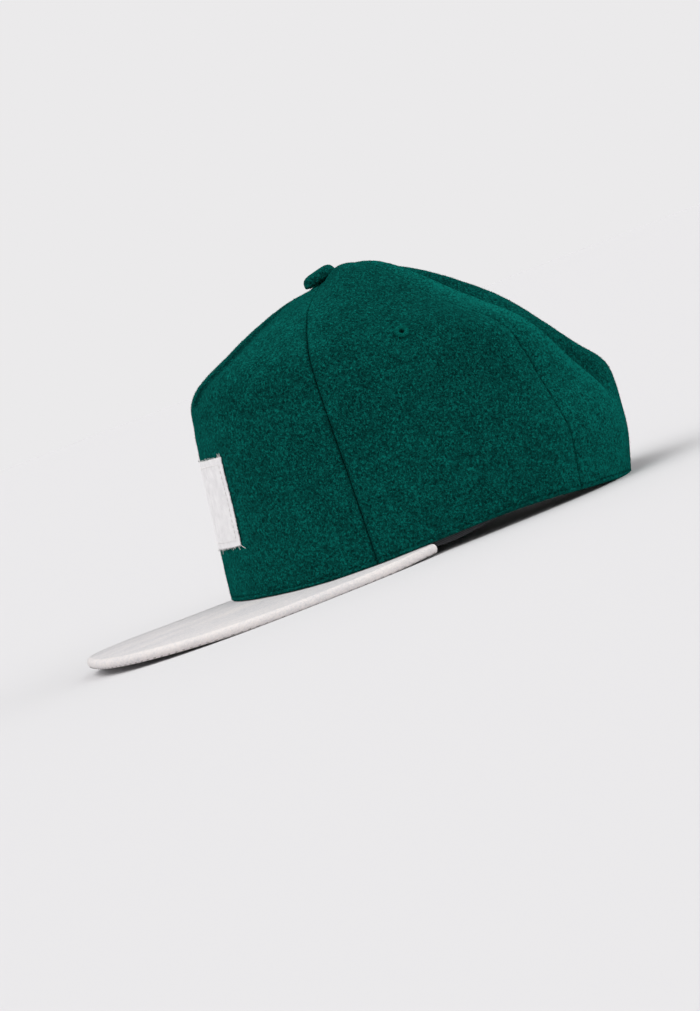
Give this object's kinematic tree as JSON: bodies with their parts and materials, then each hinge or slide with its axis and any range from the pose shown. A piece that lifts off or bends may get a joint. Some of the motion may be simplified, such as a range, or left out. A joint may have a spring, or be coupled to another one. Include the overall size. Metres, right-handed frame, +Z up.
{
  "type": "snapback cap",
  "caption": "Five-panel felt cap with a flat stiff peak, covered button, label patch and a strap closure across the back opening.",
  "frame": {"origin": "on the surface that the cap rests on, under the middle of its bounding box", "axes": "+Z up, -Y the way the peak points, +X the wearer's left"},
  "size_m": [0.186, 0.2826, 0.1415],
  "materials": {
    "green_felt": "matte",
    "peak_felt": "matte",
    "sweatband": "matte",
    "strap": "satin",
    "label": "matte"
  },
  "bodies": {
    "root": {"front_panel": "green_felt", "side_panel_left": "green_felt", "side_panel_right": "green_felt", "back_panel_left": "green_felt", "back_panel_right": "green_felt", "peak": "peak_felt", "button": "green_felt", "sweatband": "sweatband", "snap_strap": "strap", "front_label": "label", "eyelet_left": "green_felt", "eyelet_right": "green_felt"}
  },
  "joints": []
}
